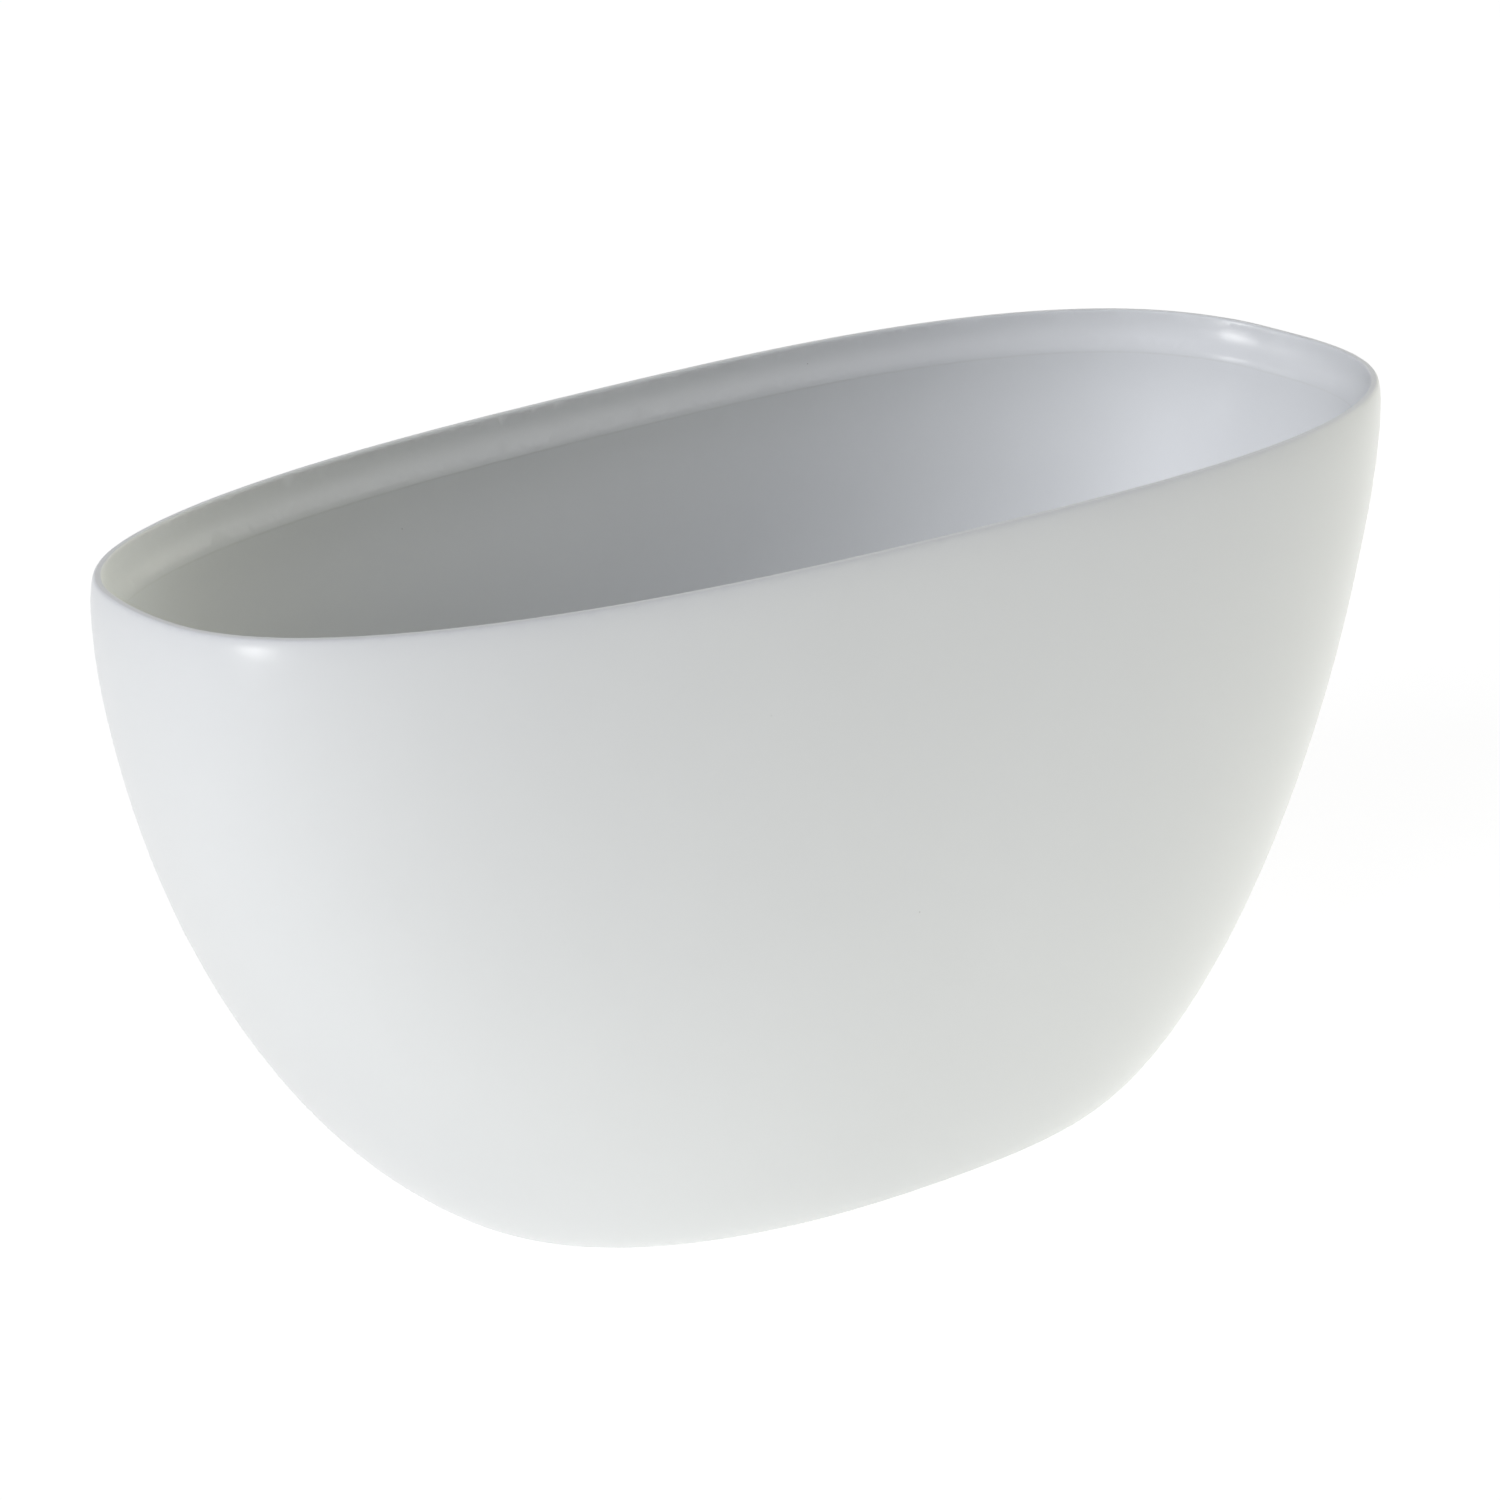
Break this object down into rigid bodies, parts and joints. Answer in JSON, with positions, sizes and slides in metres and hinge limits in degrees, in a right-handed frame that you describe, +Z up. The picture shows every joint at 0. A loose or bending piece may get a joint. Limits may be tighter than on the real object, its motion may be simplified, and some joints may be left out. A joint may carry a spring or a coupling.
{
  "type": "freestanding bathtub",
  "caption": "Deep freestanding bathtub with an egg-shaped plan, thin rolled rim, curved skirt, separate bath well, click waste, overflow, trap and levelling feet.",
  "frame": {"origin": "on the floor under the middle of the tub's length and width", "axes": "+X towards the wide head end, +Y to the left when looking from the foot end, +Z up"},
  "size_m": [1.5002, 0.6419, 0.716],
  "materials": {
    "white_shell": "satin-matt white, smooth gelcoat",
    "seam_seal": "matt white sealant",
    "birch_board": "sanded birch plywood",
    "zinc_steel": "zinc plated",
    "black_rubber": "matt black rubber",
    "chrome": "polished chrome",
    "brass": "turned brass",
    "white_pipe": "moulded white polypropylene",
    "grey_hose": "matt grey flexible hose"
  },
  "bodies": {
    "tub": {"outer_shell": "white_shell", "inner_basin": "white_shell", "rim_seal": "seam_seal", "base_board": "birch_board", "leg_channel_head": "zinc_steel", "leg_channel_foot": "zinc_steel", "leg_screws": "zinc_steel", "weld_nuts": "zinc_steel", "lock_nuts": "zinc_steel", "waste_flange": "chrome", "waste_seal_upper": "black_rubber", "waste_seal_lower": "black_rubber", "waste_body": "white_pipe", "plug_cartridge": "brass", "trap_body": "white_pipe", "trap_union_nut": "white_pipe", "trap_washer": "black_rubber", "trap_cap": "white_pipe", "trap_cap_seal": "black_rubber", "overflow_cover": "chrome", "overflow_seal": "black_rubber", "overflow_body": "white_pipe", "overflow_screw": "chrome", "overflow_hose": "grey_hose", "hose_clips": "zinc_steel"},
    "plug": {"plug_cap": "chrome", "plug_stem": "brass", "plug_seal": "black_rubber"},
    "leveller_head_left": {"leveller_stud_head_left": "zinc_steel", "leveller_pad_head_left": "black_rubber"},
    "leveller_head_right": {"leveller_stud_head_right": "zinc_steel", "leveller_pad_head_right": "black_rubber"},
    "leveller_foot_left": {"leveller_stud_foot_left": "zinc_steel", "leveller_pad_foot_left": "black_rubber"},
    "leveller_foot_right": {"leveller_stud_foot_right": "zinc_steel", "leveller_pad_foot_right": "black_rubber"}
  },
  "joints": [
    {"name": "plug_lift", "type": "slide", "parent": "tub", "child": "plug", "axis": [0, 0, 1], "range_m": [0, 0.01]},
    {"name": "level_head_left", "type": "slide", "parent": "tub", "child": "leveller_head_left", "axis": [0, 0, -1], "range_m": [-0.004, 0.012]},
    {"name": "level_head_right", "type": "slide", "parent": "tub", "child": "leveller_head_right", "axis": [0, 0, -1], "range_m": [-0.004, 0.012]},
    {"name": "level_foot_left", "type": "slide", "parent": "tub", "child": "leveller_foot_left", "axis": [0, 0, -1], "range_m": [-0.004, 0.012]},
    {"name": "level_foot_right", "type": "slide", "parent": "tub", "child": "leveller_foot_right", "axis": [0, 0, -1], "range_m": [-0.004, 0.012]}
  ]
}
